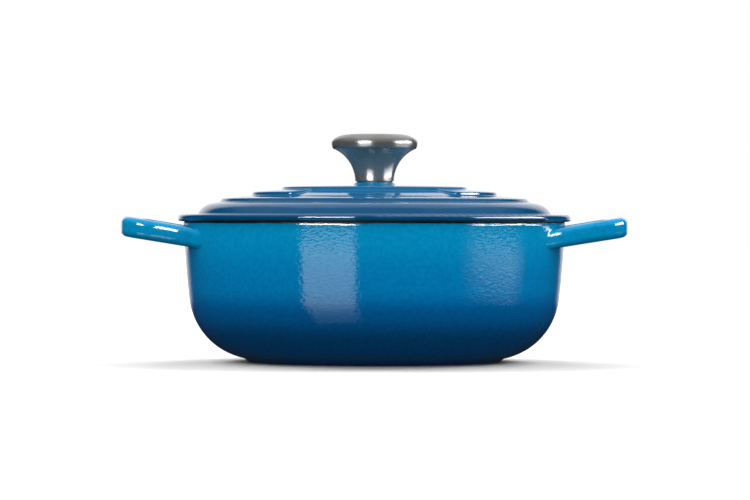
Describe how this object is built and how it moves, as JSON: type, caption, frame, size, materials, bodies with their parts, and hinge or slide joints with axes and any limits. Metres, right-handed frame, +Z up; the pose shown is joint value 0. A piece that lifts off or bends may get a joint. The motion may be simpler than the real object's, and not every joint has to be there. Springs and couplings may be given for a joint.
{
  "type": "cast iron dutch oven",
  "caption": "Low round enamelled cast iron dutch oven with two loop handles, a stepped lift-off lid and a flared steel knob screwed on from below",
  "frame": {"origin": "standing plane, under the middle of the pot", "axes": "+X towards one loop handle, +Z up, the lid's bare lettering place faces -Y"},
  "size_m": [0.337, 0.261, 0.1512],
  "materials": {
    "iron": "matte",
    "blue_enamel": "gloss",
    "sand_enamel": "gloss",
    "black_enamel": "matte",
    "gasket": "matte",
    "steel": "polished",
    "brushed_steel": "satin",
    "bush": "satin",
    "screw_steel": "satin"
  },
  "bodies": {
    "pot": {"pot_casting": "iron", "pot_outer_enamel": "blue_enamel", "pot_inner_enamel": "sand_enamel", "pot_rim_enamel": "black_enamel", "pot_foot_enamel": "black_enamel", "pot_underside_enamel": "blue_enamel"},
    "lid": {"lid_casting": "iron", "lid_outer_enamel": "blue_enamel", "lid_inner_enamel": "sand_enamel", "lid_rim_enamel": "black_enamel", "knob_gasket": "gasket", "knob_stem": "steel", "knob_cap": "brushed_steel", "knob_bush": "bush"},
    "washer": {"screw_washer": "screw_steel"},
    "screw": {"knob_screw": "screw_steel"}
  },
  "joints": [
    {"name": "lid_lift", "type": "slide", "parent": "pot", "child": "lid", "axis": [0, 0, 1], "range_m": [0, 0.15]},
    {"name": "screw_withdraw", "type": "slide", "parent": "lid", "child": "washer", "axis": [0, 0, -1], "range_m": [0, 0.01]},
    {"name": "screw_turn", "type": "hinge", "parent": "washer", "child": "screw", "pos_m": [0, 0, 0.112], "axis": [0, 0, -1], "range_deg": [0, 3600]}
  ],
  "couplings": [
    {"joint": "screw_turn", "follows": "screw_withdraw", "rad_per_m": 6283.2}
  ]
}
